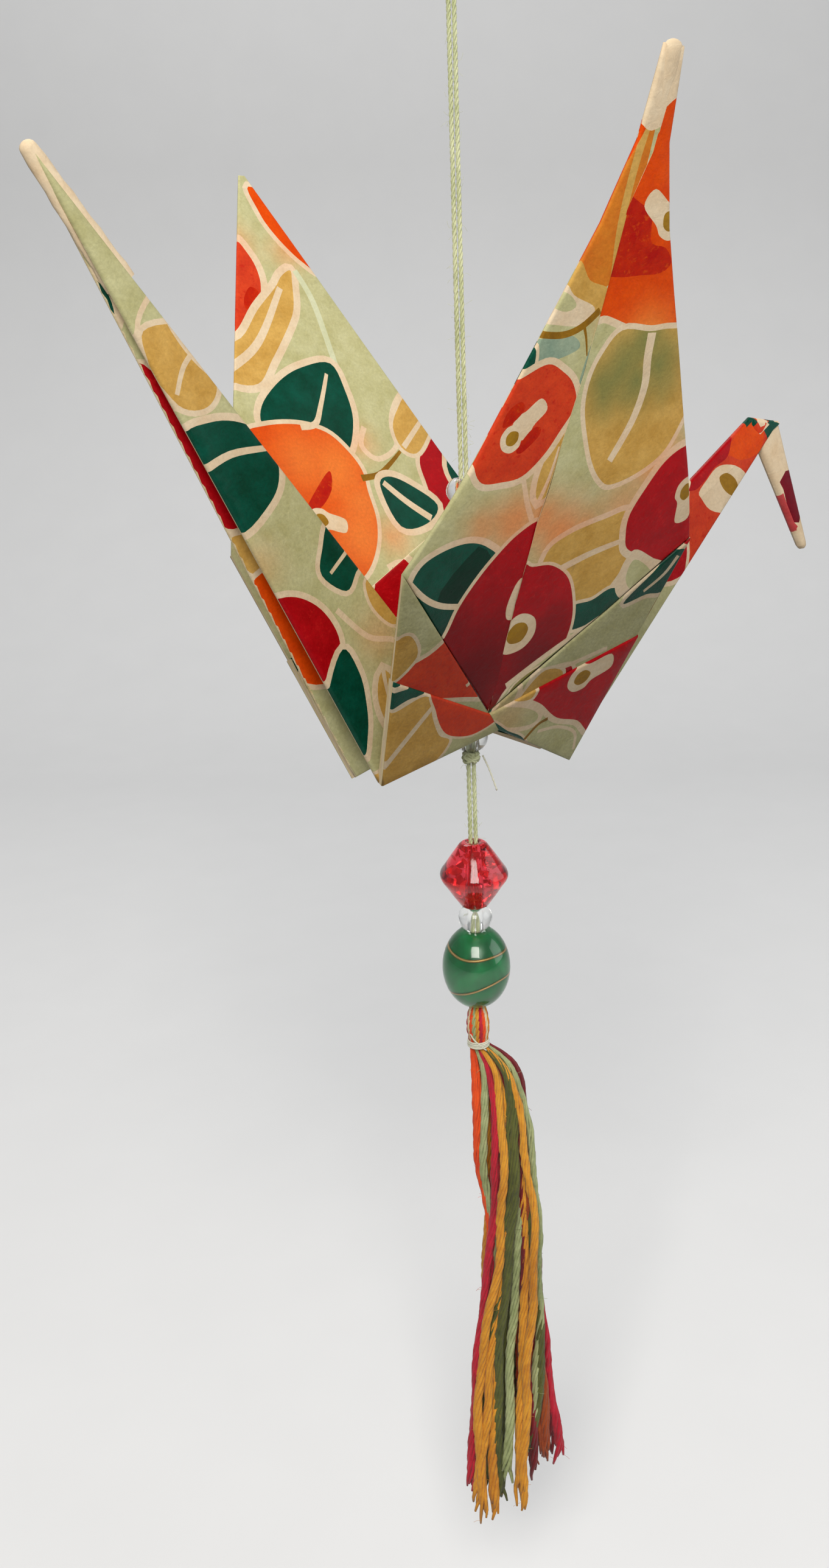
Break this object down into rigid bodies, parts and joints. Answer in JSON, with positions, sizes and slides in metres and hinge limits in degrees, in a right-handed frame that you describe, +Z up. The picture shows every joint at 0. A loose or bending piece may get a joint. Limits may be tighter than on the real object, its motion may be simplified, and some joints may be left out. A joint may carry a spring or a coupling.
{
  "type": "hanging origami crane ornament",
  "caption": "Paper crane folded from one patterned square, hung on a doubled thread with glass beads below it and a floss tassel.",
  "frame": {"origin": "top of the thread's hanging loop, where a hook holds it", "axes": "+Z up along the hanging thread, +X from the crane's tail to its head"},
  "size_m": [0.1066, 0.0685, 0.1924],
  "materials": {
    "crane_paper": "lacquered printed washi paper",
    "cord_thread": "twisted cotton thread, pale green",
    "clear_glass": "clear glass",
    "white_thread": "thin sewing thread",
    "red_glass": "translucent crackled acrylic",
    "green_glass": "opaque green glass under a clear skin, with gold lines",
    "floss_orange": "cotton floss",
    "floss_crimson": "cotton floss",
    "floss_dark_red": "cotton floss",
    "floss_gold": "cotton floss",
    "floss_olive": "cotton floss",
    "floss_rust": "cotton floss",
    "floss_sage": "cotton floss"
  },
  "bodies": {
    "root": {"paper_crane": "crane_paper", "hanging_cord": "cord_thread", "top_bead": "clear_glass", "stopper_bead": "clear_glass", "spacer_bead": "clear_glass", "stopper_knot": "cord_thread", "thread_tail": "white_thread", "red_bead": "red_glass", "green_bead": "green_glass", "tassel_head": "floss_orange", "tassel_tie": "white_thread", "tassel_crimson": "floss_crimson", "tassel_dark_red": "floss_dark_red", "tassel_gold": "floss_gold", "tassel_olive": "floss_olive", "tassel_orange": "floss_orange", "tassel_rust": "floss_rust", "tassel_sage": "floss_sage"}
  },
  "joints": []
}
